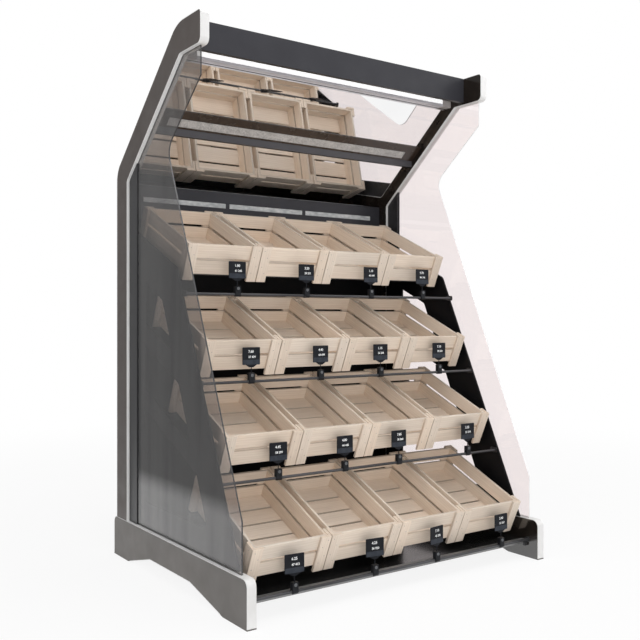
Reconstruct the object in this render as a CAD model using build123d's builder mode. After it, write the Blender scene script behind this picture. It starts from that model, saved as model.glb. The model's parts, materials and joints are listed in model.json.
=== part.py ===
from build123d import *
import os
from math import atan, cos, radians, sin, tan

os.makedirs("parts", exist_ok=True)

# Millimetres. X runs across the rack, Y from its front to its back and Z up.
# The origin is on the floor under the middle of the feet. A setback is measured
# back from the front of the feet, and a height up from the floor.

# Overall sizes
rack_width = 1330
rack_height = 1950
foot_depth = 1040
board_thickness = 33.4
edging_thickness = 2
cut_overrun = 5

# Feet: a board on edge, raised between toe and heel
foot_height = 151
arch_height = 52
toe_length = 150
toe_ramp_length = 228
heel_length = 140
heel_ramp_length = 200
foot_corner_radius = 25
foot_edging_lift = 4

# Uprights: a post that bends forward at the top into a hood arm with a beak
arm_width = 99
heel_overhang = 27
bend_height_share = 0.7749
crown_setback_share = 0.4592
beak_length = 176.6
beak_height = 111
bend_radius = 85
crown_radius = 140
brow_radius = 14
chin_radius = 22
throat_radius = 17

# Clear side screens and the steel posts that carry their back edges
screen_thickness = 5
screen_beak_inset = 27
screen_cheek_height = 99
screen_neck_setback_share = 0.5613
screen_neck_height_share = 0.7877
screen_neck_radius = 60
screen_toe_lead = 5
screen_toe_rise = 163
screen_post_width = 71
screen_post_thickness = 12

# Crates of thin boards nailed to corner legs
tilt = 24
crate_columns = 4
crate_side_gap = 23.6
crate_gap = 3
crate_length = 425
leg_thickness = 10
front_leg_width = 40
side_leg_width = 35
leg_proud = 3
leg_drop = 21
slat_thickness = 9
slat_height = 52
slot_height = 10
floor_thickness = 8
floor_gap = 8
floor_board_count = 5

# The tiers, from the top one down, each placed by its crates' front top edge
crate_back_gap = 42.7
top_tier_height_share = 0.6133
bottom_tier_setback = 62
bottom_tier_rise = 68
tier_setback_shares = (1, 0.697, 0.381, 0)
tier_height_shares = (1, 0.652, 0.336, 0)

# Gables inside the screens, with a window beside each of the lower three tiers
gable_thickness = 8
gable_toe_lag = 31
gable_shoulder_lag = 36
gable_shoulder_drop = 83
gable_shoulder_radius = 28
front_strip_width = 167
rear_strip_width = 114
window_top_rise_shares = (0.123, 0.203, 0.319)
window_sill_drop = 124
bottom_sill_rise = 89
window_radius = 20

# Crate rails: two square tubes under each tier
rail_width = 20
rail_height = 19
rail_clearance = 3

# Tag rods, each placed in front of and below its tier's edge by crate heights
rod_diameter = 10
rod_lead_shares = (0.15, 0.07, 0.065, 0.085)
rod_drop_shares = (1.277, 1.025, 1.08, 1.08)
rod_tab_length = 36
rod_tab_length_shares = (1, 1, 1, 0.5)
rod_tab_height = 20
rod_tab_thickness = 3
rod_tab_lead = 9
rod_tab_corner_radius = 6

# Snap-on tag holders: a split clip on the rod and a tag that swivels in it
clip_width = 22
clip_wall = 3.3
clip_block_depth = 15
clip_block_rise = 30
clip_mouth_share = 0.7
clip_fit = 0.05
stem_diameter = 3.2
stem_fit = 0.05
stem_seat_depth = 13
stem_seat_clearance = 0.5
stem_showing = 19
tag_width = 70
tag_height = 61
tag_thickness = 3
tag_corner_radius = 3
gusset_width = 24
gusset_height = 9
gusset_tip_width = 6
tag_offset_shares = (
    (0.10, 0.09, 0.12, 0.03),
    (0.055, 0.027, -0.04, -0.03),
    (0.135, 0.055, -0.12, 0.055),
    (-0.02, 0.055, -0.01, 0.08),
)
tag_turns = (
    (0, 0, 0, 0),
    (0, 3, 0, 0),
    (0, 0, 0, 0),
    (-6, -8, 8, 2),
)

# Back panel and the slate lamp panel in front of it
back_panel_inset = 28
back_panel_thickness = 18
back_panel_bottom = 40
lamp_panel_thickness = 20
lamp_panel_showing = 131
back_lamp_count = 3
back_lamp_end_gap = 57.6
back_lamp_gap = 19
back_lamp_height = 19
back_lamp_drop = 54.7
back_lamp_depth = 9
back_lamp_proud = 1
lamp_fit = 0.3

# Hood: mirrors on a sloping panel, with a beam between them that carries a lamp
mirror_rise_share = 0.3
mirror_thickness = 4
mirror_gap = 2
mirror_end_margin = 3
hood_panel_thickness = 18
beam_share = 0.358
beam_thickness = 46
beam_face_height = 93
beam_lamp_height = 28.5
beam_lamp_drop = 31
beam_lamp_left_gap = 26
beam_lamp_right_gap = 101.6
beam_lamp_depth = 6
beam_lamp_proud = 1

# Fascia board across the front of the hood and the lamp behind it
fascia_inset = 99
fascia_thickness = 18
fascia_height = 101
fascia_top_gap = 1
lamp_profile_depth = 30
lamp_profile_height = 10.5
lamp_profile_lip = 2.5
diffuser_height = 26.4
diffuser_seat_depth = 6
diffuser_top_radius = 4
end_cap_width = 46

# Base deck between the feet, with a steel angle along its front edge
deck_lift = 2
deck_thickness = 12
lip_thickness = 3
lip_flange_depth = 18

# Places that follow from the sizes above
outer_face = rack_width / 2
inner_face = outer_face - board_thickness
clear_width = 2 * inner_face
screen_middle = (outer_face + inner_face) / 2
upright_back = foot_depth - heel_overhang
upright_front = upright_back - arm_width
bend_height = bend_height_share * rack_height
crown_setback = crown_setback_share * foot_depth
hood_rise = (rack_height - bend_height) / (upright_back - crown_setback)
hood_slope = atan(hood_rise)
arm_height = arm_width / cos(hood_slope)
beak_setback = crown_setback - beak_length
beak_underside = rack_height - beak_height
throat_setback = upright_back - (beak_underside + arm_height - bend_height) / hood_rise
fascia_setback = beak_setback + fascia_inset
fascia_top = rack_height - fascia_top_gap
lamp_profile_back = crown_setback + lamp_profile_depth
beam_setback = crown_setback + beam_share * (upright_back - crown_setback)
beam_back = beam_setback + beam_thickness
back_panel_setback = upright_back - back_panel_inset
lamp_panel_face = back_panel_setback - lamp_panel_thickness
hood_depth = mirror_thickness + hood_panel_thickness
back_lamp_pitch = (clear_width - 2 * back_lamp_end_gap + back_lamp_gap) / back_lamp_count
back_lamp_width = back_lamp_pitch - back_lamp_gap
crate_rise = tan(radians(tilt))
crate_pitch = (clear_width - 2 * crate_side_gap) / crate_columns
crate_width = crate_pitch - crate_gap
wall_height = 2 * slat_height + slot_height
crate_height = leg_proud + wall_height + leg_drop
crate_reach = crate_length * cos(radians(tilt)) + crate_height * sin(radians(tilt))
floor_underside = -leg_proud - wall_height
top_tier_setback = back_panel_setback - crate_back_gap - crate_reach
top_tier_height = top_tier_height_share * rack_height
bottom_tier_height = foot_height + bottom_tier_rise
gable_toe_setback = bottom_tier_setback + gable_toe_lag
gable_shoulder_setback = top_tier_setback + gable_shoulder_lag
gable_shoulder_height = top_tier_height - gable_shoulder_drop
deck_bottom = arch_height + deck_lift
sides = (("left", -1), ("right", 1))
tiers = range(len(tier_setback_shares))


def side_plane(x):
    """Local x runs back from the front of the feet, and local y up."""
    return Plane(origin=(x, -foot_depth / 2, 0), x_dir=(0, 1, 0), z_dir=(1, 0, 0))


def arm_front_edge(setback):
    """Height of the front edge of the hood arms at a setback."""
    return bend_height + (upright_back - setback) * hood_rise - arm_height


def hood_height(setback, depth=0):
    """Height in the hood at a setback and at a depth behind the mirrors' face."""
    face = arm_front_edge(setback) + mirror_rise_share * arm_height
    return face + depth / cos(hood_slope)


def tier_setback(tier):
    step = top_tier_setback - bottom_tier_setback
    return bottom_tier_setback + tier_setback_shares[tier] * step


def tier_height(tier):
    step = top_tier_height - bottom_tier_height
    return bottom_tier_height + tier_height_shares[tier] * step


def column_x(column):
    return (column - (crate_columns - 1) / 2) * crate_pitch


def tier_plane(tier, x):
    """On the crates' front top edge: local x runs across, y up the slope, z out of it."""
    return Plane(
        origin=(x, tier_setback(tier) - foot_depth / 2, tier_height(tier)),
        x_dir=(1, 0, 0),
        z_dir=(0, -sin(radians(tilt)), cos(radians(tilt))),
    )


def slope_height(tier, rise, setback):
    """Height at a setback of the line that lies a rise above a tier's top edges."""
    run = setback - tier_setback(tier)
    return tier_height(tier) + run * crate_rise + rise / cos(radians(tilt))


# Feet
def foot_outline():
    """The whole side shape of a foot, edging included."""
    with BuildSketch() as outline:
        with BuildLine():
            FilletPolyline(
                (0, 0),
                (toe_length, 0),
                (toe_length + toe_ramp_length, arch_height),
                (foot_depth - heel_length - heel_ramp_length, arch_height),
                (foot_depth - heel_length, 0),
                (foot_depth, 0),
                (foot_depth, foot_height),
                (0, foot_height),
                radius=(0, 0, 0, 0, 0, 0, foot_corner_radius, foot_corner_radius),
                close=True,
            )
        make_face()
    return outline.sketch


def foot_band():
    """The edging's side shape: a band round the foot, stopped short of the floor."""
    with BuildSketch() as band:
        add(foot_outline())
        offset(foot_outline(), amount=-edging_thickness, mode=Mode.SUBTRACT)
        with Locations((foot_depth / 2, foot_edging_lift / 2)):
            Rectangle(foot_depth + cut_overrun, foot_edging_lift, mode=Mode.SUBTRACT)
    return band.sketch


def make_feet():
    for side, sign in sides:
        name = f"{side}_foot"
        with BuildPart() as foot:
            with BuildSketch(side_plane(sign * inner_face)):
                add(foot_outline())
                add(foot_band(), mode=Mode.SUBTRACT)
            extrude(amount=sign * board_thickness)
        foot.part.label = name
        export_step(foot.part, f"parts/{name}.step")
    with BuildPart() as foot_edging:
        for side, sign in sides:
            with BuildSketch(side_plane(sign * inner_face)):
                add(foot_band())
            extrude(amount=sign * board_thickness)
    foot_edging.part.label = "foot_edging"
    export_step(foot_edging.part, "parts/foot_edging.step")


# Uprights
def upright_outline():
    """The whole side shape of an upright with its hood arm, edging included."""
    with BuildSketch() as outline:
        with BuildLine():
            FilletPolyline(
                (upright_front, foot_height),
                (upright_back, foot_height),
                (upright_back, bend_height),
                (crown_setback, rack_height),
                (beak_setback, rack_height),
                (beak_setback, beak_underside),
                (throat_setback, beak_underside),
                (upright_front, arm_front_edge(upright_front)),
                radius=(
                    0,
                    0,
                    bend_radius,
                    crown_radius,
                    brow_radius,
                    chin_radius,
                    throat_radius,
                    throat_radius,
                ),
                close=True,
            )
        make_face()
    return outline.sketch


def upright_band():
    """The edging's side shape: a band round the upright, open where it meets the foot."""
    with BuildSketch() as band:
        add(upright_outline())
        offset(upright_outline(), amount=-edging_thickness, mode=Mode.SUBTRACT)
        with Locations(((upright_front + upright_back) / 2, foot_height)):
            Rectangle(
                arm_width - 2 * edging_thickness,
                2 * edging_thickness,
                mode=Mode.SUBTRACT,
            )
    return band.sketch


def make_uprights():
    for side, sign in sides:
        name = f"{side}_upright"
        with BuildPart() as upright:
            with BuildSketch(side_plane(sign * inner_face)):
                add(upright_outline())
                add(upright_band(), mode=Mode.SUBTRACT)
            extrude(amount=sign * board_thickness)
        upright.part.label = name
        export_step(upright.part, f"parts/{name}.step")
    with BuildPart() as upright_edging:
        for side, sign in sides:
            with BuildSketch(side_plane(sign * inner_face)):
                add(upright_band())
            extrude(amount=sign * board_thickness)
    upright_edging.part.label = "upright_edging"
    export_step(upright_edging.part, "parts/upright_edging.step")


# Side screens
def make_screen_posts():
    """Flat steel posts between foot and hood arm, cut to the arm's slope at the top."""
    post_front = upright_front - screen_post_width
    with BuildPart() as posts:
        for side, sign in sides:
            with BuildSketch(side_plane(sign * screen_middle)):
                with BuildLine():
                    Polyline(
                        (post_front, foot_height),
                        (upright_front, foot_height),
                        (upright_front, arm_front_edge(upright_front)),
                        (post_front, arm_front_edge(post_front)),
                        close=True,
                    )
                make_face()
            extrude(amount=screen_post_thickness / 2, both=True)
        # The arm's edge rounds into the upright's above the back of each post.
        for side, sign in sides:
            with BuildSketch(side_plane(sign * screen_middle)):
                add(upright_outline())
            extrude(amount=screen_post_thickness, both=True, mode=Mode.SUBTRACT)
    posts.part.label = "screen_posts"
    export_step(posts.part, "parts/screen_posts.step")


def make_screens():
    """Clear sheets that fill the hood's throat and slope down to the toe of the foot."""
    back = upright_front - screen_post_width
    front = beak_setback + screen_beak_inset
    neck = (screen_neck_setback_share * foot_depth, screen_neck_height_share * rack_height)
    toe_setback = bottom_tier_setback - screen_toe_lead
    for side, sign in sides:
        name = f"{side}_screen"
        with BuildPart() as screen:
            with BuildSketch(side_plane(sign * screen_middle)):
                with BuildLine():
                    FilletPolyline(
                        (toe_setback, foot_height),
                        (back, foot_height),
                        (back, arm_front_edge(back)),
                        (throat_setback, beak_underside),
                        (front, beak_underside),
                        (front, beak_underside - screen_cheek_height),
                        neck,
                        (toe_setback, foot_height + screen_toe_rise),
                        radius=(0, 0, 0, 0, 0, 0, screen_neck_radius, 0),
                        close=True,
                    )
                make_face()
            extrude(amount=screen_thickness / 2, both=True)
            # The throat of the arm is rounded, so the sheet is cut to it.
            with BuildSketch(side_plane(sign * screen_middle)):
                add(upright_outline())
            extrude(amount=screen_thickness, both=True, mode=Mode.SUBTRACT)
        screen.part.label = name
        export_step(screen.part, f"parts/{name}.step")


# Gables
def gable_front(height):
    """Setback of a gable's front edge at a height."""
    share = (height - foot_height) / (gable_shoulder_height - foot_height)
    return gable_toe_setback + share * (gable_shoulder_setback - gable_toe_setback)


def window_front_corner(tier, rise):
    """Where a window's front edge meets the line a rise above a tier's top edges."""
    lean = (gable_shoulder_setback - gable_toe_setback) / (
        gable_shoulder_height - foot_height
    )
    edge_at_floor = gable_front(0) + front_strip_width
    height = slope_height(tier, rise, edge_at_floor) / (1 - lean * crate_rise)
    return (edge_at_floor + lean * height, height)


def window_outline(tier, rise):
    """A window beside a tier: its sill follows the slope, or is level at the bottom."""
    rear = upright_front - rear_strip_width
    if tier == tiers[-1]:
        sill = foot_height + bottom_sill_rise
        sill_front = (gable_front(sill) + front_strip_width, sill)
        sill_rear = (rear, sill)
    else:
        sill_front = window_front_corner(tier, -window_sill_drop)
        sill_rear = (rear, slope_height(tier, -window_sill_drop, rear))
    with BuildSketch() as window:
        with BuildLine():
            FilletPolyline(
                sill_front,
                sill_rear,
                (rear, slope_height(tier, rise, rear)),
                window_front_corner(tier, rise),
                radius=(window_radius, window_radius, 0, window_radius),
                close=True,
            )
        make_face()
    return window.sketch


def make_gables():
    shoulder_to_rear = upright_front - gable_shoulder_setback
    rear_height = gable_shoulder_height + shoulder_to_rear * crate_rise
    for side, sign in sides:
        name = f"{side}_gable"
        with BuildPart() as gable:
            with BuildSketch(side_plane(sign * inner_face)):
                with BuildLine():
                    FilletPolyline(
                        (gable_toe_setback, foot_height),
                        (upright_front, foot_height),
                        (upright_front, rear_height),
                        (gable_shoulder_setback, gable_shoulder_height),
                        radius=(0, 0, 0, gable_shoulder_radius),
                        close=True,
                    )
                make_face()
                for tier, share in zip(tiers[1:], window_top_rise_shares):
                    add(window_outline(tier, share * crate_height), mode=Mode.SUBTRACT)
            extrude(amount=sign * gable_thickness)
        gable.part.label = name
        export_step(gable.part, f"parts/{name}.step")


# Crate rails
def make_crate_rails():
    """Two rails under each tier, just inside the crates' front and back legs."""
    leg_room = leg_thickness + side_leg_width + rail_clearance + rail_width / 2
    with BuildPart() as rails:
        for tier in tiers:
            with BuildSketch(tier_plane(tier, 0).offset(floor_underside)):
                with Locations((0, leg_room), (0, crate_length - leg_room)):
                    Rectangle(clear_width, rail_width)
            extrude(amount=-rail_height)
    rails.part.label = "crate_rails"
    export_step(rails.part, "parts/crate_rails.step")


# Crates
def make_crate_boards():
    """The boards of one crate in its tier's local directions, in groups that don't touch."""
    half_width = crate_width / 2
    leg_middle = -crate_height / 2
    across = half_width - leg_thickness - slat_thickness
    inside_length = crate_length - 2 * leg_thickness - 2 * slat_thickness
    upper_slat = -leg_proud - slat_height / 2
    lower_slat = upper_slat - slat_height - slot_height
    middle = crate_length / 2

    with BuildPart() as end_legs:
        for x in (-1, 1):
            for y in (-1, 1):
                with Locations(
                    (
                        x * (half_width - front_leg_width / 2),
                        middle + y * (middle - leg_thickness / 2),
                        leg_middle,
                    )
                ):
                    Box(front_leg_width, leg_thickness, crate_height)
    with BuildPart() as side_legs:
        for x in (-1, 1):
            for y in (-1, 1):
                with Locations(
                    (
                        x * (half_width - leg_thickness / 2),
                        middle + y * (middle - leg_thickness - side_leg_width / 2),
                        leg_middle,
                    )
                ):
                    Box(leg_thickness, side_leg_width, crate_height)
    with BuildPart() as end_slats:
        for z in (upper_slat, lower_slat):
            for y in (-1, 1):
                with Locations(
                    (0, middle + y * (middle - leg_thickness - slat_thickness / 2), z)
                ):
                    Box(2 * across, slat_thickness, slat_height)
    with BuildPart() as side_slats:
        for z in (upper_slat, lower_slat):
            for x in (-1, 1):
                with Locations((x * (across + slat_thickness / 2), middle, z)):
                    Box(slat_thickness, crate_length - 2 * leg_thickness, slat_height)
    board_width = (inside_length - (floor_board_count - 1) * floor_gap) / floor_board_count
    with BuildPart() as floor_boards:
        with Locations((0, middle, floor_underside + floor_thickness / 2)):
            with GridLocations(0, board_width + floor_gap, 1, floor_board_count):
                Box(2 * across, board_width, floor_thickness)
    groups = (end_legs, side_legs, end_slats, side_slats, floor_boards)
    return [board for group in groups for board in group.part.solids()]


def make_crates():
    boards = make_crate_boards()
    for tier in tiers:
        for column in range(crate_columns):
            name = f"crate_{tier + 1}_{column + 1}"
            place = tier_plane(tier, column_x(column)).location
            crate = Compound([board.moved(place) for board in boards])
            crate.label = name
            export_step(crate, f"parts/{name}.step")


# Tag rods
def rod_setback(tier):
    return tier_setback(tier) - rod_lead_shares[tier] * crate_height


def rod_height(tier):
    return tier_height(tier) - rod_drop_shares[tier] * crate_height


def make_tag_rods():
    """A round rod in front of each tier, with a flat tab welded on at each end."""
    with BuildPart() as rods:
        for tier in tiers:
            with BuildSketch(side_plane(-inner_face)):
                with Locations((rod_setback(tier), rod_height(tier))):
                    Circle(rod_diameter / 2)
            extrude(amount=clear_width)
            tab_length = rod_tab_length * rod_tab_length_shares[tier]
            tab_middle = rod_setback(tier) - rod_tab_lead + tab_length / 2
            for side, sign in sides:
                with BuildSketch(side_plane(sign * inner_face)):
                    with Locations((tab_middle, rod_height(tier))):
                        RectangleRounded(tab_length, rod_tab_height, rod_tab_corner_radius)
                extrude(amount=-sign * rod_tab_thickness)
    rods.part.label = "tag_rods"
    export_step(rods.part, "parts/tag_rods.step")


# Snap-on tag holders
def tag_plane(tier, column, turn=0):
    """Where a tag's stem axis crosses its rod's axis, with y to the back and z up."""
    x = column_x(column) + tag_offset_shares[tier][column] * crate_pitch
    return Plane(
        origin=(x, rod_setback(tier) - foot_depth / 2, rod_height(tier)),
        x_dir=(cos(radians(turn)), sin(radians(turn)), 0),
        z_dir=(0, 0, 1),
    )


def make_tag_clips():
    """Split clips round the rods, each with a blind socket for a tag's stem."""
    bore_radius = rod_diameter / 2 + clip_fit
    ring_radius = bore_radius + clip_wall
    with BuildPart() as clip:
        with BuildSketch(Plane.YZ):
            Circle(ring_radius)
            with Locations((0, clip_block_rise / 2)):
                Rectangle(clip_block_depth, clip_block_rise)
            Circle(bore_radius, mode=Mode.SUBTRACT)
            with Locations((0, -ring_radius / 2)):
                Rectangle(clip_mouth_share * rod_diameter, ring_radius, mode=Mode.SUBTRACT)
        extrude(amount=clip_width / 2, both=True)
        with Locations((0, 0, clip_block_rise)):
            Hole(stem_diameter / 2 + stem_fit, depth=stem_seat_depth)
    places = [tag_plane(tier, column) for tier in tiers for column in range(crate_columns)]
    clips = Compound([clip.part.solid().moved(place.location) for place in places])
    clips.label = "tag_clips"
    export_step(clips, "parts/tag_clips.step")


def make_tags():
    """A plate on a short gusset, with a round stem that turns in the clip's socket."""
    stem_bottom = clip_block_rise - stem_seat_depth + stem_seat_clearance
    gusset_bottom = clip_block_rise + stem_showing
    plate_bottom = gusset_bottom + gusset_height
    with BuildPart() as plate:
        with BuildSketch(Plane.XZ):
            with Locations((0, plate_bottom + tag_height / 2)):
                RectangleRounded(tag_width, tag_height, tag_corner_radius)
            with BuildLine():
                Polyline(
                    (-gusset_width / 2, plate_bottom),
                    (-gusset_tip_width / 2, gusset_bottom),
                    (gusset_tip_width / 2, gusset_bottom),
                    (gusset_width / 2, plate_bottom),
                    close=True,
                )
            make_face()
        extrude(amount=tag_thickness / 2, both=True)
    with BuildPart() as stem:
        with BuildSketch(Plane.XY.offset(stem_bottom)):
            Circle(stem_diameter / 2)
        extrude(amount=gusset_bottom - stem_bottom)
    for tier in tiers:
        for column in range(crate_columns):
            name = f"tag_{tier + 1}_{column + 1}"
            place = tag_plane(tier, column, tag_turns[tier][column]).location
            pieces = [plate.part.solid(), stem.part.solid()]
            tag = Compound([piece.moved(place) for piece in pieces])
            tag.label = name
            export_step(tag, f"parts/{name}.step")


# Back panel and its lamps
def back_lamp_slots(margin):
    """The openings for the lamps, or their diffusers when the margin is nothing."""
    with BuildSketch() as slots:
        with Locations((0, hood_height(lamp_panel_face) - back_lamp_drop)):
            with GridLocations(back_lamp_pitch, 0, back_lamp_count, 1):
                Rectangle(back_lamp_width + 2 * margin, back_lamp_height + 2 * margin)
    return slots.sketch


def front_plane(setback):
    """Local x runs across and local y up, facing the front of the rack."""
    return Plane(origin=(0, setback - foot_depth / 2, 0), x_dir=(1, 0, 0), z_dir=(0, -1, 0))


def make_board(name, setback, thickness, bottom, top):
    """An upright board that spans the rack between the uprights."""
    with BuildPart() as board:
        with BuildSketch(front_plane(setback)):
            with Locations((0, (bottom + top) / 2)):
                Rectangle(clear_width, top - bottom)
        extrude(amount=-thickness)
    board.part.label = name
    export_step(board.part, f"parts/{name}.step")


def make_lamp_panel():
    """The slate panel with three lamps let into its face, seated on the back panel."""
    top = hood_height(lamp_panel_face, hood_depth)
    bottom = hood_height(lamp_panel_face) - lamp_panel_showing
    with BuildPart() as panel:
        with BuildSketch(front_plane(lamp_panel_face)):
            with Locations((0, (bottom + top) / 2)):
                Rectangle(clear_width, top - bottom)
        extrude(amount=-lamp_panel_thickness)
        with BuildSketch(front_plane(lamp_panel_face)):
            add(back_lamp_slots(lamp_fit))
        extrude(amount=-back_lamp_depth, mode=Mode.SUBTRACT)
    panel.part.label = "lamp_panel"
    export_step(panel.part, "parts/lamp_panel.step")
    with BuildPart() as lamps:
        with BuildSketch(front_plane(lamp_panel_face - back_lamp_proud)):
            add(back_lamp_slots(0))
        extrude(amount=-back_lamp_proud - back_lamp_depth)
    lamps.part.label = "back_lamps"
    export_step(lamps.part, "parts/back_lamps.step")


# Hood
def make_sloping_board(name, start, end, front_depth, back_depth, half_width):
    """A board along the hood's slope, cut plumb at both ends."""
    with BuildPart() as board:
        with BuildSketch(side_plane(0)):
            with BuildLine():
                Polyline(
                    (start, hood_height(start, front_depth)),
                    (end, hood_height(end, front_depth)),
                    (end, hood_height(end, back_depth)),
                    (start, hood_height(start, back_depth)),
                    close=True,
                )
            make_face()
        extrude(amount=half_width, both=True)
    board.part.label = name
    export_step(board.part, f"parts/{name}.step")


def make_hood():
    """The panel behind the mirrors runs from the front lamp down to the lamp panel."""
    half_mirror = inner_face - mirror_end_margin
    mirrors = (
        ("upper_mirror", lamp_profile_back + mirror_gap, beam_setback),
        ("lower_mirror", beam_back, lamp_panel_face - mirror_gap),
    )
    for name, start, end in mirrors:
        make_sloping_board(name, start, end, 0, mirror_thickness, half_mirror)
    make_sloping_board(
        "hood_panel",
        lamp_profile_back,
        lamp_panel_face,
        mirror_thickness,
        hood_depth,
        inner_face,
    )


def make_beam():
    """A beam between the mirrors, seated on the hood panel, with a lamp let into it."""
    beam_bottom = hood_height(beam_setback) - beam_face_height
    lamp_middle = hood_height(beam_setback) - beam_lamp_drop - beam_lamp_height / 2
    beam_lamp_width = clear_width - beam_lamp_left_gap - beam_lamp_right_gap
    lamp_centre = (beam_lamp_left_gap - beam_lamp_right_gap) / 2
    with BuildPart() as beam:
        with BuildSketch(side_plane(0)):
            with BuildLine():
                Polyline(
                    (beam_setback, hood_height(beam_setback, mirror_thickness)),
                    (beam_setback, beam_bottom),
                    (beam_back, beam_bottom),
                    (beam_back, hood_height(beam_back, mirror_thickness)),
                    close=True,
                )
            make_face()
        extrude(amount=inner_face, both=True)
        with BuildSketch(front_plane(beam_setback)):
            with Locations((lamp_centre, lamp_middle)):
                Rectangle(beam_lamp_width + 2 * lamp_fit, beam_lamp_height + 2 * lamp_fit)
        extrude(amount=-beam_lamp_depth, mode=Mode.SUBTRACT)
    beam.part.label = "mirror_beam"
    export_step(beam.part, "parts/mirror_beam.step")
    with BuildPart() as beam_lamp:
        with BuildSketch(front_plane(beam_setback - beam_lamp_proud)):
            with Locations((lamp_centre, lamp_middle)):
                Rectangle(beam_lamp_width, beam_lamp_height)
        extrude(amount=-beam_lamp_proud - beam_lamp_depth)
    beam_lamp.part.label = "beam_lamp"
    export_step(beam_lamp.part, "parts/beam_lamp.step")


# Front lamp behind the fascia
def make_front_lamp():
    """A white diffuser seated in an aluminium profile, held by two end caps."""
    half_profile = inner_face - end_cap_width
    profile_bottom = hood_height(lamp_profile_back, mirror_thickness)
    profile_top = profile_bottom + lamp_profile_height
    diffuser_top = profile_top + diffuser_height
    seat_bottom = profile_top - diffuser_seat_depth
    seat_depth = lamp_profile_depth - 2 * lamp_profile_lip
    seat_middle = crown_setback + lamp_profile_depth / 2
    with BuildPart() as profile:
        with BuildSketch(side_plane(0)):
            with Locations((crown_setback, profile_bottom)):
                Rectangle(lamp_profile_depth, lamp_profile_height, align=Align.MIN)
            with Locations((seat_middle, seat_bottom)):
                Rectangle(
                    seat_depth,
                    diffuser_seat_depth,
                    align=(Align.CENTER, Align.MIN),
                    mode=Mode.SUBTRACT,
                )
        extrude(amount=half_profile, both=True)
    profile.part.label = "lamp_profile"
    export_step(profile.part, "parts/lamp_profile.step")
    with BuildPart() as diffuser:
        with BuildSketch(side_plane(0)):
            with Locations((seat_middle, seat_bottom)):
                Rectangle(
                    seat_depth - 2 * lamp_fit,
                    diffuser_top - seat_bottom,
                    align=(Align.CENTER, Align.MIN),
                )
        extrude(amount=half_profile, both=True)
        fillet(diffuser.edges().filter_by(Axis.X).group_by(Axis.Z)[-1], diffuser_top_radius)
    diffuser.part.label = "lamp_diffuser"
    export_step(diffuser.part, "parts/lamp_diffuser.step")
    with BuildPart() as end_caps:
        for side, sign in sides:
            with BuildSketch(side_plane(sign * inner_face)):
                with Locations((crown_setback, profile_bottom)):
                    Rectangle(lamp_profile_depth, diffuser_top - profile_bottom, align=Align.MIN)
            extrude(amount=-sign * end_cap_width)
    end_caps.part.label = "lamp_end_caps"
    export_step(end_caps.part, "parts/lamp_end_caps.step")


# Base
def make_base():
    """A deck board between the feet and the steel angle that caps its front edge."""
    deck_front = bottom_tier_setback + lip_thickness
    deck_top = deck_bottom + deck_thickness
    with BuildPart() as deck:
        with BuildSketch(side_plane(0)):
            with Locations((deck_front, deck_bottom)):
                Rectangle(back_panel_setback - deck_front, deck_thickness, align=Align.MIN)
        extrude(amount=inner_face, both=True)
    deck.part.label = "base_deck"
    export_step(deck.part, "parts/base_deck.step")
    with BuildPart() as lip:
        with BuildSketch(side_plane(0)):
            with BuildLine():
                Polyline(
                    (bottom_tier_setback, deck_bottom),
                    (bottom_tier_setback, deck_top + lip_thickness),
                    (deck_front + lip_flange_depth, deck_top + lip_thickness),
                    (deck_front + lip_flange_depth, deck_top),
                    (deck_front, deck_top),
                    (deck_front, deck_bottom),
                    close=True,
                )
            make_face()
        extrude(amount=inner_face, both=True)
    lip.part.label = "base_lip"
    export_step(lip.part, "parts/base_lip.step")


make_feet()
make_uprights()
make_screen_posts()
make_screens()
make_gables()
make_crate_rails()
make_crates()
make_tag_rods()
make_tag_clips()
make_tags()
make_board(
    "back_panel",
    back_panel_setback,
    back_panel_thickness,
    back_panel_bottom,
    hood_height(lamp_panel_face, hood_depth),
)
make_lamp_panel()
make_hood()
make_beam()
make_board("fascia", fascia_setback, fascia_thickness, fascia_top - fascia_height, fascia_top)
make_front_lamp()
make_base()
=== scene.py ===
import json
import random
from math import cos, pi, radians, sin

import bmesh
import bpy
from mathutils import Matrix, Vector


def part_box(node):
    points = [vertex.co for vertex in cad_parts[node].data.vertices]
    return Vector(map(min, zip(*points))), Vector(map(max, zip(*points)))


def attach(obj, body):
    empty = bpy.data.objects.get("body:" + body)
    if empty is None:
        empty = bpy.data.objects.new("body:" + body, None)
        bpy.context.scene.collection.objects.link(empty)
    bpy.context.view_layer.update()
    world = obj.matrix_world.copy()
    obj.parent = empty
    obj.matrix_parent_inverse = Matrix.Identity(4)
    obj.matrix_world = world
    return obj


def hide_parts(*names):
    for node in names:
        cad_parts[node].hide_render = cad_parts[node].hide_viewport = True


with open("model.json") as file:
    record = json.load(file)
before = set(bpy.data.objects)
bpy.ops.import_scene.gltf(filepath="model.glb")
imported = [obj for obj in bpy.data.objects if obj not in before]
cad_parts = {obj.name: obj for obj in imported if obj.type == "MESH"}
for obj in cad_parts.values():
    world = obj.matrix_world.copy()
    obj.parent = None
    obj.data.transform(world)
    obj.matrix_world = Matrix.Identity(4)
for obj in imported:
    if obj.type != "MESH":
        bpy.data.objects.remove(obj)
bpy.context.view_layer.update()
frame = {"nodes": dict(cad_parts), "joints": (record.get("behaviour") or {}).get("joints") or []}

# The camera: level, a little under half the rack's height, and off to its left,
# so that the front, the left side and the underside of the hood are seen.
camera_length = 47.84
camera_sensor = 36
camera_shift = -0.0042
camera_place = (-1.9506, -2.7156, 0.9374)
camera_heading = -35.26

camera_lens = bpy.data.cameras.new("camera")
camera_lens.lens = camera_length
camera_lens.sensor_width = camera_sensor
camera_lens.shift_y = camera_shift
camera = bpy.data.objects.new("camera", camera_lens)
camera.location = camera_place
camera.rotation_euler = (radians(90), 0, radians(camera_heading))
bpy.context.scene.collection.objects.link(camera)
bpy.context.scene.camera = camera
bpy.context.scene.view_settings.view_transform = "Standard"

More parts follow.
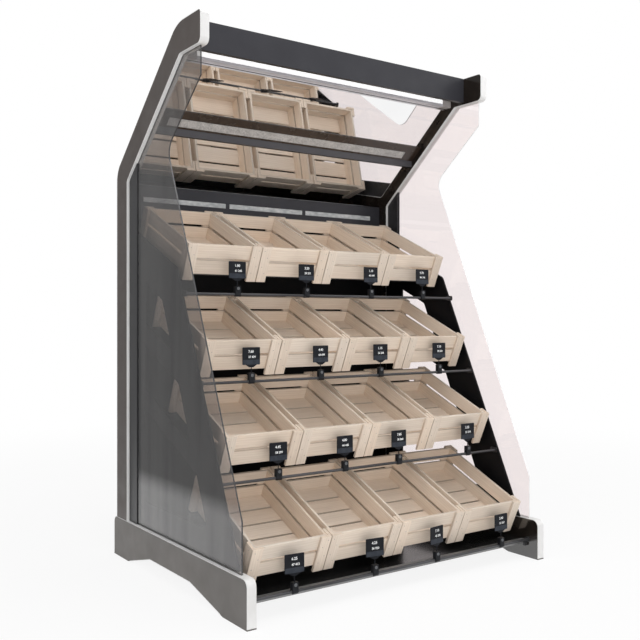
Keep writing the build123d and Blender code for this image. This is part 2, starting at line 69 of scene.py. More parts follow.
# The room: a pale floor that fades into a white surround, with a large soft lamp
# before the rack, a weaker one on each side of it and one overhead. What the rack
# mirrors is dimmer on the left, but for a bright patch of floor beside it.
pure_white = (1, 1, 1)
floor_reach = 30
floor_colour = (0.93, 0.93, 0.93)
floor_roughness = 0.9
floor_shine = 0.1
floor_white_near = 0.88
floor_white_start = 1.44
floor_white_end = 4.8
patch_start = -0.6
patch_end = -1.7
patch_least = 0.001
patch_levels = ((0.0, 1.0), (0.12, 1.4), (0.62, 1.4), (0.8, 0.53))
room_glow = 0.43
dim_way = (-0.577, 0.817, 0)
dim_start = 0.1
dim_end = 0.75
dim_glow = 0.53
lamps = (
    ("front_lamp", (-1.6, -4.4, 1.35), (0, 0, 0.8), 2.6, 52),
    ("left_lamp", (-4.4, -0.6, 2.4), (0, 0, 0.8), 2.4, 26),
    ("right_lamp", (4.2, -2.2, 2.6), (0, 0, 0.9), 2.4, 40),
    ("top_lamp", (0, -0.9, 4.6), (0, 0, 0.9), 3.2, 80),
)


def start_finish(name):
    """A new finish: its material, its main shader and the piece's own coordinates."""
    finish = bpy.data.materials.new(name)
    finish.use_nodes = True
    shader = finish.node_tree.nodes["Principled BSDF"]
    place = finish.node_tree.nodes.new("ShaderNodeTexCoord").outputs["Object"]
    return finish, shader, place


def compute(finish, operation, first, second):
    """A number worked out from two others, each a tone or a plain number."""
    step = finish.node_tree.nodes.new("ShaderNodeMath")
    step.operation = operation
    for value, socket in ((first, step.inputs[0]), (second, step.inputs[1])):
        if isinstance(value, (int, float)):
            socket.default_value = value
        else:
            finish.node_tree.links.new(value, socket)
    return step.outputs[0]


def fade(finish, tone, start, end, first=0, last=1, way="LINEAR"):
    """A number that goes from first to last while a tone goes from start to end."""
    span = finish.node_tree.nodes.new("ShaderNodeMapRange")
    span.interpolation_type = way
    span.inputs["From Min"].default_value = start
    span.inputs["From Max"].default_value = end
    span.inputs["To Min"].default_value = first
    span.inputs["To Max"].default_value = last
    finish.node_tree.links.new(tone, span.inputs["Value"])
    return span.outputs["Result"]


def mix_colours(finish, share, first, second, way="MIX"):
    """Two colours mixed by a share, which may be a number or a tone."""
    mixed = finish.node_tree.nodes.new("ShaderNodeMix")
    mixed.data_type = "RGBA"
    mixed.blend_type = way
    links = finish.node_tree.links
    if isinstance(share, float):
        mixed.inputs[0].default_value = share
    else:
        links.new(share, mixed.inputs[0])
    for colour, socket in ((first, mixed.inputs[6]), (second, mixed.inputs[7])):
        if isinstance(colour, tuple):
            socket.default_value = (*colour, 1)
        else:
            links.new(colour, socket)
    return mixed.outputs[2]


def mix_shaders(finish, share, first, second):
    """Two shaders mixed by a share."""
    mixed = finish.node_tree.nodes.new("ShaderNodeMixShader")
    for number, given in enumerate((share, first, second)):
        finish.node_tree.links.new(given, mixed.inputs[number])
    return mixed.outputs[0]


for name, place, aim, width, power in lamps:
    lamp_data = bpy.data.lights.new(name, "AREA")
    lamp_data.shape = "SQUARE"
    lamp_data.size = width
    lamp_data.energy = power
    lamp = bpy.data.objects.new(name, lamp_data)
    lamp.location = place
    lamp.rotation_euler = (Vector(aim) - Vector(place)).to_track_quat("-Z", "Y").to_euler()
    bpy.context.scene.collection.objects.link(lamp)

surround = bpy.data.worlds.new("surround")
surround.use_nodes = True
bpy.context.scene.world = surround
parts, wires = surround.node_tree.nodes, surround.node_tree.links
parts.clear()
seen_by = parts.new("ShaderNodeLightPath").outputs
dim_share = parts.new("ShaderNodeVectorMath")
dim_share.operation = "DOT_PRODUCT"
dim_share.inputs[1].default_value = dim_way
wires.new(parts.new("ShaderNodeTexCoord").outputs["Generated"], dim_share.inputs[0])
dimming = fade(
    surround, dim_share.outputs["Value"], dim_start, dim_end, 1, dim_glow, "SMOOTHSTEP"
)
glow, mirrored, backdrop = [parts.new("ShaderNodeBackground") for _ in range(3)]
for shown in (glow, mirrored, backdrop):
    shown.inputs["Color"].default_value = (*pure_white, 1)
glow.inputs["Strength"].default_value = room_glow
wires.new(dimming, mirrored.inputs["Strength"])
unseen = mix_shaders(surround, seen_by["Is Glossy Ray"], glow.outputs[0], mirrored.outputs[0])
straight_ray = compute(
    surround, "MAXIMUM", seen_by["Is Camera Ray"], seen_by["Is Transmission Ray"]
)
wires.new(
    mix_shaders(surround, straight_ray, unseen, backdrop.outputs[0]),
    parts.new("ShaderNodeOutputWorld").inputs["Surface"],
)

floor_mesh = bpy.data.meshes.new("floor")
floor_mesh.from_pydata(
    [(x * floor_reach, y * floor_reach, 0) for x, y in ((-1, -1), (1, -1), (1, 1), (-1, 1))],
    [],
    [(0, 1, 2, 3)],
)
floor = bpy.data.objects.new("floor", floor_mesh)
bpy.context.scene.collection.objects.link(floor)
floor_paint, floor_shader, floor_place = start_finish("floor_paint")
parts, wires = floor_paint.node_tree.nodes, floor_paint.node_tree.links
floor_shader.inputs["Base Color"].default_value = (*floor_colour, 1)
floor_shader.inputs["Roughness"].default_value = floor_roughness
floor_shader.inputs["Specular IOR Level"].default_value = floor_shine
floor_distance = parts.new("ShaderNodeVectorMath")
floor_distance.operation = "LENGTH"
wires.new(floor_place, floor_distance.inputs[0])
floor_whiteness = fade(
    floor_paint,
    floor_distance.outputs["Value"],
    floor_white_start,
    floor_white_end,
    floor_white_near,
    1,
    "SMOOTHSTEP",
)
seen_by = parts.new("ShaderNodeLightPath").outputs
floor_seen = compute(floor_paint, "MAXIMUM", seen_by["Is Camera Ray"], seen_by["Is Glossy Ray"])
floor_white_share = compute(floor_paint, "MULTIPLY", floor_whiteness, floor_seen)
floor_spot = parts.new("ShaderNodeSeparateXYZ")
wires.new(floor_place, floor_spot.inputs[0])
patch_share = fade(floor_paint, floor_spot.outputs["X"], patch_start, patch_end)
patch_tone = parts.new("ShaderNodeValToRGB")
stops = patch_tone.color_ramp.elements
for number, (share, level) in enumerate(patch_levels):
    stop = stops[0] if number == 0 else stops.new(share)
    stop.position = share
    stop.color = (level, level, level, 1)
stops.remove(stops[-1])
wires.new(patch_share, patch_tone.inputs[0])
on_patch = compute(floor_paint, "GREATER_THAN", patch_share, patch_least)
patch_seen = compute(floor_paint, "MULTIPLY", on_patch, seen_by["Is Glossy Ray"])
floor_white = parts.new("ShaderNodeEmission")
wires.new(
    mix_colours(floor_paint, patch_seen, pure_white, patch_tone.outputs["Color"]),
    floor_white.inputs["Color"],
)
floor_cover = compute(floor_paint, "MAXIMUM", floor_white_share, patch_seen)
wires.new(
    mix_shaders(floor_paint, floor_cover, floor_shader.outputs[0], floor_white.outputs[0]),
    parts["Material Output"].inputs["Surface"],
)
floor.data.materials.append(floor_paint)

# The feet and the uprights: chipboard sawn to shape, faced outside with warm grey laminate
# that has a fine pearl texture; their faces turned inward are near black and glossy.
laminate_grey = (0.088, 0.075, 0.069)
laminate_grey_light = (0.105, 0.090, 0.083)
# The feet take a lighter copy of the same grey laminate: painted light.
foot_grey_painted_lighter = (0.142, 0.132, 0.123)
foot_grey_painted_lighter_paler = (0.167, 0.155, 0.145)
# Near black: for the inward faces, and as painted shade under and behind boards.
black_facing_and_painted_shade = (0.014, 0.011, 0.009)
black_facing_and_painted_shade_paler = (0.022, 0.017, 0.014)
facing_shine = 0.25
facing_bend = 1.5
facing_drift = 0.06
inside_limit = -0.3
inside_smooth = 0.1
upright_inside_shine = 0.3
foot_inside_shine = 1.0
foot_inside_bend = 1.7
weld_reach = 0.00001
corner_angle = 50


def cloud(finish, place, patch, detail=3, stretch=(1, 1, 1)):
    """An uneven tone whose patches are about this wide in metres."""
    turned = finish.node_tree.nodes.new("ShaderNodeMapping")
    turned.inputs["Scale"].default_value = stretch
    finish.node_tree.links.new(place, turned.inputs["Vector"])
    tone = finish.node_tree.nodes.new("ShaderNodeTexNoise")
    tone.inputs["Scale"].default_value = 1 / patch
    tone.inputs["Detail"].default_value = detail
    finish.node_tree.links.new(turned.outputs[0], tone.inputs["Vector"])
    return tone.outputs["Fac"]


def shade(finish, tone, dark, light, low=0.35, high=0.65):
    """A colour between a dark and a light one, by an uneven tone."""
    ramp = finish.node_tree.nodes.new("ShaderNodeValToRGB")
    for stop, share, colour in zip(ramp.color_ramp.elements, (low, high), (dark, light)):
        stop.position = share
        stop.color = (*colour, 1)
    finish.node_tree.links.new(tone, ramp.inputs[0])
    return ramp.outputs["Color"]


def between(finish, tone, least, most, low=0.3, high=0.7):
    """A number between two ends, by an uneven tone."""
    return fade(finish, tone, low, high, least, most)


def coat(finish, shader, colour, roughness):
    """Gives a shader its colour and its roughness."""
    finish.node_tree.links.new(colour, shader.inputs["Base Color"])
    finish.node_tree.links.new(roughness, shader.inputs["Roughness"])


def emboss(finish, shader, tone, depth, strength=0.4):
    """Raises the surface by an uneven tone."""
    bump = finish.node_tree.nodes.new("ShaderNodeBump")
    bump.inputs["Strength"].default_value = strength
    bump.inputs["Distance"].default_value = depth
    finish.node_tree.links.new(tone, bump.inputs["Height"])
    finish.node_tree.links.new(bump.outputs["Normal"], shader.inputs["Normal"])


def laminate(name, dark, light, smooth, rough, shine=facing_shine):
    """A board facing with a faint cloudy tone and a fine pearl texture."""
    finish, shader, place = start_finish(name)
    soft_tone = cloud(finish, place, patch=0.22, detail=4)
    smear = cloud(finish, place, patch=0.06, detail=5)
    pearl = cloud(finish, place, patch=0.0016, detail=2)
    colour = shade(finish, soft_tone, dark, light)
    coat(finish, shader, colour, between(finish, smear, smooth, rough))
    shader.inputs["Specular IOR Level"].default_value = shine
    emboss(finish, shader, pearl, depth=0.0002, strength=0.25)
    return finish


def surface(finish):
    """Where a spot lies on the rack and which way it faces, each as x, y and z."""
    here = finish.node_tree.nodes.new("ShaderNodeNewGeometry")
    both = []
    for given in ("Position", "Normal"):
        split = finish.node_tree.nodes.new("ShaderNodeSeparateXYZ")
        finish.node_tree.links.new(here.outputs[given], split.inputs[0])
        both.append(split.outputs)
    return both


def black_and_painted_shade_where(finish, share, smooth=0.3, shine=facing_shine, bend=facing_bend):
    """Makes a board near black and glossy where a share is one: painted shade under and behind."""
    nodes = finish.node_tree.nodes
    place = nodes["Texture Coordinate"].outputs["Object"]
    black = nodes.new("ShaderNodeBsdfPrincipled")
    tone = cloud(finish, place, patch=0.1, detail=4)
    colour = shade(finish, tone, black_facing_and_painted_shade, black_facing_and_painted_shade_paler)
    coat(finish, black, colour, between(finish, tone, smooth, smooth + facing_drift))
    black.inputs["Specular IOR Level"].default_value = shine
    black.inputs["IOR"].default_value = bend
    both = mix_shaders(finish, share, nodes["Principled BSDF"].outputs[0], black.outputs[0])
    finish.node_tree.links.new(both, nodes["Material Output"].inputs["Surface"])


def dress(node, finish, eased=0.0):
    """Gives a piece its finish, and rounds its corners off a little."""
    piece = frame["nodes"][node]
    piece.data.materials.clear()
    piece.data.materials.append(finish)
    if eased:
        weld = piece.modifiers.new("joined_corners", "WELD")
        weld.merge_threshold = weld_reach
        rounding = piece.modifiers.new("eased_corners", "BEVEL")
        rounding.width = eased
        rounding.segments = 2
        rounding.limit_method = "ANGLE"
        rounding.angle_limit = radians(corner_angle)


upright_laminate = laminate(
    "grey_laminate", laminate_grey, laminate_grey_light, smooth=0.42, rough=0.56
)
# The feet's copy of the grey laminate is painted lighter than the uprights'.
foot_laminate_painted_lighter = laminate("foot_laminate_painted_lighter", foot_grey_painted_lighter, foot_grey_painted_lighter_paler, smooth=0.42, rough=0.56)
# Faces turned inward, towards the crates, are made near black and glossy.
for finish, shine, bend in (
    (upright_laminate, upright_inside_shine, facing_bend),
    (foot_laminate_painted_lighter, foot_inside_shine, foot_inside_bend),
):
    spot, facing_way = surface(finish)
    inward = compute(finish, "MULTIPLY", spot["X"], facing_way["X"])
    inside = compute(finish, "LESS_THAN", inward, inside_limit)
    black_and_painted_shade_where(finish, inside, inside_smooth, shine, bend)
for node in ("left_foot", "right_foot"):
    dress(node, foot_laminate_painted_lighter)
for node in ("left_upright", "right_upright"):
    dress(node, upright_laminate)

# The edge bands: a thick white plastic edging, glued all round the sawn edges of
# the feet and the uprights, with its corners scraped round.
edging_white = (0.78, 0.775, 0.765)
edging_white_light = (0.86, 0.855, 0.85)
edging_round = 0.0009

edging, edging_shader, edging_place = start_finish("edging_plastic")
edging_tone = cloud(edging, edging_place, patch=0.12, detail=5)
edging_smear = cloud(edging, edging_place, patch=0.03, detail=3)
coat(
    edging,
    edging_shader,
    shade(edging, edging_tone, edging_white, edging_white_light),
    between(edging, edging_smear, least=0.32, most=0.48),
)
edging_grain = cloud(edging, edging_place, patch=0.002, detail=2)
emboss(edging, edging_shader, edging_grain, depth=0.0001, strength=0.3)
dress("upright_edging", edging, edging_round)
dress("foot_edging", edging, edging_round)

# The screen posts: flat steel bar, painted dark, that stands on each foot against
# the upright and holds the back edge of the clear screen.
post_black = (0.020, 0.020, 0.022)
post_grey = (0.040, 0.040, 0.043)
post_round = 0.0008
steel_drift = 0.012
steel_dust = (0.0012, 0.00008, 0.3)
fine_dust = (0.001, 0.00006, 0.25)


def plain_finish(
    name, dark, light, metal, smooth, rough, patch, grain=(1, 1, 1), shine=0.5, dust=fine_dust
):
    """An even finish with a faint drift in its colour and gloss, and a fine dust."""
    finish, shader, place = start_finish(name)
    drift = cloud(finish, place, patch, detail=4, stretch=grain)
    coat(finish, shader, shade(finish, drift, dark, light), between(finish, drift, smooth, rough))
    shader.inputs["Metallic"].default_value = metal
    shader.inputs["Specular IOR Level"].default_value = shine
    dust_size, depth, strength = dust
    emboss(finish, shader, cloud(finish, place, dust_size, detail=2), depth, strength)
    return finish


def painted_steel(name, dark, light, metal, smooth, rough, grain=(1, 1, 1)):
    """Steel with a thin dark coat, drawn along its grain."""
    return plain_finish(
        name, dark, light, metal, smooth, rough, steel_drift, grain, dust=steel_dust
    )


post_steel = painted_steel("post_steel", post_black, post_grey, metal=0.2, smooth=0.34, rough=0.5)
dress("screen_posts", post_steel, post_round)

# The side screens: clear cast sheet with polished edges, set on the feet and up into
# the throat of the hood arms. Each edge is painted as a line of the light it would
# carry: painted shade before the dark gable on the left, painted light before the
# white room on the right, and a painted highlight along the left sheet's back edge.
sheet_tint = (0.97, 0.93, 0.928)
sheet_tint_aslant = (0.66, 0.65, 0.645)
sheet_aslant_start = 0.43
sheet_aslant_end = 0.56
sheet_shadow = (0.62, 0.61, 0.61)
# Edge colours are painted light and shade: a dark line, a back-edge highlight, a pale line.
sheet_edge_painted_shade = (0.05, 0.05, 0.053)
sheet_back_edge_painted_highlight = (0.42, 0.42, 0.43)
sheet_edge_painted_light = (0.86, 0.845, 0.84)
sheet_streak = (0.84, 0.84, 0.85)
sheet_bend = 1.49
sheet_edge_limit = 0.5
sheet_back_limit = 0.9


def clear_sheet(name, edge, painted_back_edge):
    """A clear sheet, darker aslant, that dims lamps a little and has a smeared gloss."""
    finish, shader, place = start_finish(name)
    nodes, links = finish.node_tree.nodes, finish.node_tree.links
    slant = nodes.new("ShaderNodeLayerWeight").outputs["Facing"]
    seen = shade(
        finish, slant, sheet_tint, sheet_tint_aslant, sheet_aslant_start, sheet_aslant_end
    )
    ray = nodes.new("ShaderNodeLightPath").outputs
    dimmed = compute(finish, "MAXIMUM", ray["Is Shadow Ray"], ray["Is Diffuse Ray"])
    through = nodes.new("ShaderNodeBsdfTransparent")
    links.new(mix_colours(finish, dimmed, seen, sheet_shadow), through.inputs["Color"])
    gloss = nodes.new("ShaderNodeBsdfGlossy")
    smear = cloud(finish, place, patch=0.09, detail=4, stretch=(1, 1, 0.35))
    streaks = cloud(finish, place, patch=0.05, detail=3, stretch=(1, 1, 0.06))
    streak_tone = shade(finish, streaks, sheet_streak, pure_white, low=0.36, high=0.56)
    links.new(streak_tone, gloss.inputs["Color"])
    links.new(between(finish, smear, least=0.01, most=0.05), gloss.inputs["Roughness"])
    from_within = nodes.new("ShaderNodeNewGeometry").outputs["Backfacing"]
    fresnel = nodes.new("ShaderNodeFresnel")
    links.new(fade(finish, from_within, 0, 1, sheet_bend, 1 / sheet_bend), fresnel.inputs["IOR"])
    sheet = mix_shaders(finish, fresnel.outputs[0], through.outputs[0], gloss.outputs[0])
    # Edges take a flat colour instead of the clear sheet: the painted edge colours given here.
    across = nodes.new("ShaderNodeSeparateXYZ")
    links.new(nodes["Texture Coordinate"].outputs["Normal"], across.inputs[0])
    faces_back = compute(finish, "GREATER_THAN", across.outputs["Y"], sheet_back_limit)
    painted_edge_tone = shade(finish, faces_back, edge, painted_back_edge, low=0.0, high=1.0)
    coat(finish, shader, painted_edge_tone, between(finish, smear, least=0.15, most=0.3))
    flatness = compute(finish, "ABSOLUTE", across.outputs["X"], 0)
    is_edge = compute(finish, "LESS_THAN", flatness, sheet_edge_limit)
    whole = mix_shaders(finish, is_edge, sheet, shader.outputs[0])
    links.new(whole, nodes["Material Output"].inputs["Surface"])
    return finish


# The left sheet's edges are painted dark with a highlight behind; the right's painted pale.
for node, edge, painted_back_edge in (
    ("left_screen", sheet_edge_painted_shade, sheet_back_edge_painted_highlight),
    ("right_screen", sheet_edge_painted_light, sheet_edge_painted_light),
):
    dress(node, clear_sheet(f"{node}_sheet", edge, painted_back_edge))

# The gables, the back panel and the hood panel: boards faced with black laminate,
# screwed between the uprights. The gables have a window beside each lower tier.
laminate_black = (0.005, 0.005, 0.006)
laminate_black_light = (0.009, 0.009, 0.010)
laminate_black_shine = 0.12
board_round = 0.0006

black_laminate = laminate(
    "black_laminate",
    laminate_black,
    laminate_black_light,
    smooth=0.36,
    rough=0.5,
    shine=laminate_black_shine,
)
for node in ("left_gable", "right_gable", "back_panel", "hood_panel"):
    dress(node, black_laminate, board_round)

# The lamp panel and the fascia: boards faced with slate grey laminate, with painted
# shade, near black, where they turn under. Shallow housings in the lamp panel take its
# three lamps.
laminate_slate = (0.030, 0.030, 0.036)
laminate_slate_light = (0.039, 0.039, 0.046)
painted_shade_under_limit = -0.5

slate_laminate_painted_shade_under = laminate(
    "slate_laminate_painted_shade_under", laminate_slate, laminate_slate_light, smooth=0.4, rough=0.54
)
slate_way = surface(slate_laminate_painted_shade_under)[1]
# Faces turned down are near black: painted shade under the boards.
black_and_painted_shade_where(slate_laminate_painted_shade_under, compute(slate_laminate_painted_shade_under, "LESS_THAN", slate_way["Z"], painted_shade_under_limit))
for node in ("lamp_panel", "fascia"):
    dress(node, slate_laminate_painted_shade_under, board_round)

# The lamps let into the lamp panel: covers of ribbed clear plastic over pale
# reflectors, unlit, each held by its snug housing. The glints of the covers' cells
# are painted into their colour.
cover_grey = (0.42, 0.44, 0.45)
# The pale end is the painted glint of the cells.
cover_painted_glint = (0.74, 0.75, 0.75)
cover_cell = 0.012
cover_stretch = (0.5, 1, 1)
painted_glint_share = 0.45


def lamp_cover(name, dark, light, cell, stretch=(1, 1, 1)):
    """A prismatic cover whose small cells show as painted glints in its colour."""
    finish, shader, place = start_finish(name)
    nodes, links = finish.node_tree.nodes, finish.node_tree.links
    turned = nodes.new("ShaderNodeMapping")
    turned.inputs["Scale"].default_value = stretch
    links.new(place, turned.inputs["Vector"])
    cells = nodes.new("ShaderNodeTexVoronoi")
    cells.inputs["Scale"].default_value = 1 / cell
    links.new(turned.outputs[0], cells.inputs["Vector"])
    rise = cells.outputs["Distance"]
    waves = cloud(finish, place, patch=0.02, detail=4, stretch=stretch)
    # Cell middles lighter and cell rims darker: painted glints.
    tone = compute(finish, "ADD", compute(finish, "MULTIPLY", rise, painted_glint_share), waves)
    colour = shade(finish, tone, light, dark, low=0.45, high=0.95)
    coat(finish, shader, colour, between(finish, waves, least=0.2, most=0.38))
    emboss(finish, shader, rise, depth=0.0006, strength=0.5)
    return finish


dress(
    "back_lamps", lamp_cover("back_cover", cover_grey, cover_painted_glint, cover_cell, cover_stretch)
)

# The mirrors: two sheets of silvered glass, bonded to the sloping hood panel on
# each side of the beam.
mirror_silver = (0.92, 0.92, 0.925)
mirror_silver_light = (0.95, 0.95, 0.95)

mirror_glass, mirror_shader, mirror_place = start_finish("mirror_glass")
mirror_tone = cloud(mirror_glass, mirror_place, patch=0.3, detail=3)
mirror_smear = cloud(mirror_glass, mirror_place, patch=0.05, detail=5)
coat(
    mirror_glass,
    mirror_shader,
    shade(mirror_glass, mirror_tone, mirror_silver, mirror_silver_light),
    between(mirror_glass, mirror_smear, least=0.012, most=0.03),
)
mirror_shader.inputs["Metallic"].default_value = 1
for node in ("upper_mirror", "lower_mirror"):
    dress(node, mirror_glass)

# The beam between the mirrors: a black strip along the hood's slope with a lamp let
# into it, tinted brown as a painted reflection of the crates below, and behind the lamp
# an upright slate bar, level with the arms' edges, painted lighter on its front as a
# highlight and near black on its other faces as painted shade.
hood_slope = radians(39.35)
strip_length = 0.0822
strip_proud = 0.003
strip_deep = 0.004
strip_deep_length = 0.059
strip_shine = 0.5
# Black tinted brown: a painted reflection of the crates below.
strip_black_painted_reflection = (0.034, 0.023, 0.017)
strip_black_painted_reflection_paler = (0.048, 0.033, 0.025)
strip_lamp_start = 0.0372
strip_lamp_end = 0.0728
strip_lamp_proud = 0.001
strip_lamp_left = -0.587
strip_lamp_right = 0.562
strip_cell = 0.006
strip_grey = (0.36, 0.35, 0.34)
strip_cover_painted_glint = (0.66, 0.64, 0.62)
bar_height = 0.029
bar_thickness = 0.018
bar_front_limit = -0.5
# Lighter than the fascia's slate: a painted highlight on the bar's front.
bar_slate_painted_highlight = (0.080, 0.077, 0.084)
bar_slate_painted_highlight_paler = (0.100, 0.096, 0.103)

beam_start = Vector((0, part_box("upper_mirror")[1].y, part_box("upper_mirror")[0].z))
beam_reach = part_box("mirror_beam")[1].x


def start_piece(name, shape, finishes, body="rack"):
    """Makes a shape a piece in its finishes, which moves with a body."""
    bmesh.ops.recalc_face_normals(shape, faces=shape.faces)
    mesh = bpy.data.meshes.new(name)
    shape.to_mesh(mesh)
    shape.free()
    for finish in finishes:
        mesh.materials.append(finish)
    piece = bpy.data.objects.new(name, mesh)
    bpy.context.scene.collection.objects.link(piece)
    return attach(piece, body)


def on_slope(along, out):
    """A spot this far down the hood's slope from the beam's start, and out of the mirrors."""
    return (
        beam_start.y + along * cos(hood_slope) - out * sin(hood_slope),
        beam_start.z - along * sin(hood_slope) - out * cos(hood_slope),
    )


def add_length(shape, outline, left, right, finish_number=0):
    """Adds a length of a section, given in y and z, from left to right."""
    ends = [[shape.verts.new((x, y, z)) for y, z in outline] for x in (left, right)]
    sides = [
        (ends[0][step], ends[0][step - 1], ends[1][step - 1], ends[1][step])
        for step in range(len(outline))
    ]
    for corners in (*ends, *sides):
        shape.faces.new(corners).material_index = finish_number


# The strip's brown tint is a painted reflection.
strip_laminate_painted_reflection = laminate(
    "strip_laminate_painted_reflection", strip_black_painted_reflection, strip_black_painted_reflection_paler, smooth=0.2, rough=0.32, shine=strip_shine
)
# The bar's front is painted lighter as a highlight.
bar_laminate_painted_light_and_shade = laminate("bar_laminate_painted_light_and_shade", bar_slate_painted_highlight, bar_slate_painted_highlight_paler, smooth=0.4, rough=0.54)
bar_way = surface(bar_laminate_painted_light_and_shade)[1]
# The bar's faces other than its front are near black: painted shade.
black_and_painted_shade_where(bar_laminate_painted_light_and_shade, compute(bar_laminate_painted_light_and_shade, "GREATER_THAN", bar_way["Y"], bar_front_limit))
strip_section = [
    on_slope(0, strip_proud),
    on_slope(strip_length, strip_proud),
    on_slope(strip_length, 0),
    on_slope(strip_deep_length, 0),
    on_slope(strip_deep_length, -strip_deep),
    on_slope(0, -strip_deep),
]
bar_front, bar_top = on_slope(strip_length, 0)
bar_section = [
    (bar_front, bar_top),
    (bar_front, bar_top - bar_height),
    (bar_front + bar_thickness, bar_top - bar_height),
    on_slope(strip_length + bar_thickness / cos(hood_slope), 0),
]
beam = bmesh.new()
add_length(beam, strip_section, -beam_reach, beam_reach)
add_length(beam, bar_section, -beam_reach, beam_reach, 1)
beam_boards = start_piece("beam_boards", beam, (strip_laminate_painted_reflection, bar_laminate_painted_light_and_shade))
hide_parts("mirror_beam")
# The beam lamp's cells show painted glints too.
strip_cover = lamp_cover("strip_cover", strip_grey, strip_cover_painted_glint, strip_cell)
strip_lamp_section = [
    on_slope(strip_lamp_start, strip_proud + strip_lamp_proud),
    on_slope(strip_lamp_end, strip_proud + strip_lamp_proud),
    on_slope(strip_lamp_end, strip_proud),
    on_slope(strip_lamp_start, strip_proud),
]
strip_lamp = bmesh.new()
add_length(strip_lamp, strip_lamp_section, strip_lamp_left, strip_lamp_right)
beam_light = start_piece("beam_light", strip_lamp, (strip_cover,))
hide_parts("beam_lamp")

# The front lamp: a white diffuser, lit from inside, that snaps into the open top
# of an anodised profile. Two moulded end caps fix it to the uprights.
diffuser_white = (0.90, 0.90, 0.90)
diffuser_white_light = (0.95, 0.95, 0.95)
diffuser_roughness = 0.45
diffuser_glow = 0.55
profile_lilac = (0.60, 0.57, 0.60)
profile_lilac_light = (0.71, 0.68, 0.71)
profile_grain = (0.05, 1, 1)
profile_round = 0.0006
cap_grey = (0.42, 0.38, 0.37)
cap_grey_light = (0.50, 0.46, 0.45)
cap_round = 0.001

diffuser, diffuser_shader, diffuser_place = start_finish("lit_diffuser")
diffuser_tone = cloud(diffuser, diffuser_place, patch=0.05, detail=2)
diffuser.node_tree.links.new(
    shade(diffuser, diffuser_tone, diffuser_white, diffuser_white_light),
    diffuser_shader.inputs["Base Color"],
)
diffuser_shader.inputs["Roughness"].default_value = diffuser_roughness
diffuser_shader.inputs["Emission Color"].default_value = (*pure_white, 1)
diffuser_shader.inputs["Emission Strength"].default_value = diffuser_glow
dress("lamp_diffuser", diffuser)
anodised = plain_finish(
    "anodised_profile",
    profile_lilac,
    profile_lilac_light,
    metal=0.3,
    smooth=0.3,
    rough=0.42,
    patch=0.004,
    grain=profile_grain,
)
dress("lamp_profile", anodised, profile_round)
cap_plastic = plain_finish(
    "cap_plastic", cap_grey, cap_grey_light, metal=0, smooth=0.4, rough=0.5, patch=0.03
)
dress("lamp_end_caps", cap_plastic, cap_round)

# The base deck and its lip: a board with a black high-gloss face that shows the
# crates' undersides, and a painted steel angle screwed along its front edge.
gloss_black = (0.015, 0.015, 0.015)
gloss_black_light = (0.024, 0.024, 0.023)
lip_grey = (0.20, 0.20, 0.20)
lip_grey_light = (0.27, 0.27, 0.27)
lip_grain = (0.05, 1, 1)
lip_round = 0.0005

deck_gloss = plain_finish(
    "deck_gloss", gloss_black, gloss_black_light, metal=0, smooth=0.08, rough=0.16, patch=0.2
)
dress("base_deck", deck_gloss)
lip_steel = painted_steel(
    "lip_steel", lip_grey, lip_grey_light, metal=0.4, smooth=0.3, rough=0.42, grain=lip_grain
)
dress("base_lip", lip_steel, lip_round)

# The crate rails: square steel tube with a black powder coat, two under each tier,
# screwed to the gables.
rail_black = (0.014, 0.014, 0.015)
rail_black_light = (0.024, 0.024, 0.025)
rail_round = 0.0012

rail_coat = painted_steel(
    "rail_coat", rail_black, rail_black_light, metal=0.1, smooth=0.45, rough=0.6
)
dress("crate_rails", rail_coat, rail_round)

# The crates: thin planed poplar boards, nailed to corner legs. Each board has its
# own piece of grain and tone, eased corners and darker ends. Its narrow edges are
# darker too, partly for the sawn wood and partly as painted shade in the joints.
tier_count = 4
column_count = 4
tilt = radians(24)
crate_width = 0.301
crate_length = 0.425
leg_thickness = 0.010
front_leg_width = 0.040
side_leg_width = 0.035
leg_proud = 0.003
leg_drop = 0.021
slat_thickness = 0.009
slat_height = 0.052
slot_height = 0.010
crate_floor_thickness = 0.008
crate_floor_gap = 0.008
crate_floor_boards = 5
board_eased = 0.0009
board_shift = 0.0002
# Narrow edges darker: partly the sawn wood, partly painted shade where boards meet.
board_sawn_and_shade = 0.8
board_end = 0.4
board_lights = (0.93, 1.03)
board_warmth = 0.02
wood_pale = (0.92, 0.80, 0.68)
wood_cream = (0.85, 0.73, 0.615)
wood_line = (0.56, 0.42, 0.31)
wood_end = (0.50, 0.37, 0.27)
wood_shine = 0.35
figure_stretch = (0.06, 1, 0.4)
fibre_stretch = (0.03, 1, 1)
growth_stretch = (0.12, 1, 0.5)
growth_look = (("Scale", 34), ("Distortion", 5), ("Detail", 3), ("Detail Scale", 1.4))
grain_spread = 40
nail_radius = 0.0013
nail_proud = 0.0003
nail_sides = 10
nail_spots = ((0.011, 0.014), (0.027, -0.012))
nail_grey = (0.30, 0.28, 0.26)

poplar = bpy.data.materials.new("planed_poplar")
poplar.use_nodes = True
parts, wires = poplar.node_tree.nodes, poplar.node_tree.links
wood_shader = parts["Principled BSDF"]
carried = {}
for name in ("grain_place", "board_tone_and_shade", "end_share"):
    attribute = parts.new("ShaderNodeAttribute")
    attribute.attribute_name = name
    carried[name] = attribute.outputs
grain_place = carried["grain_place"]["Vector"]
figure = cloud(poplar, grain_place, patch=0.016, detail=4, stretch=figure_stretch)
fibre = cloud(poplar, grain_place, patch=0.0018, detail=3, stretch=fibre_stretch)
growth = parts.new("ShaderNodeTexWave")
growth.bands_direction = "Y"
for setting, value in growth_look:
    growth.inputs[setting].default_value = value
growth_place = parts.new("ShaderNodeMapping")
growth_place.inputs["Scale"].default_value = growth_stretch
wires.new(grain_place, growth_place.inputs["Vector"])
wires.new(growth_place.outputs[0], growth.inputs["Vector"])
growth_share = between(poplar, growth.outputs["Fac"], least=0.0, most=0.13)
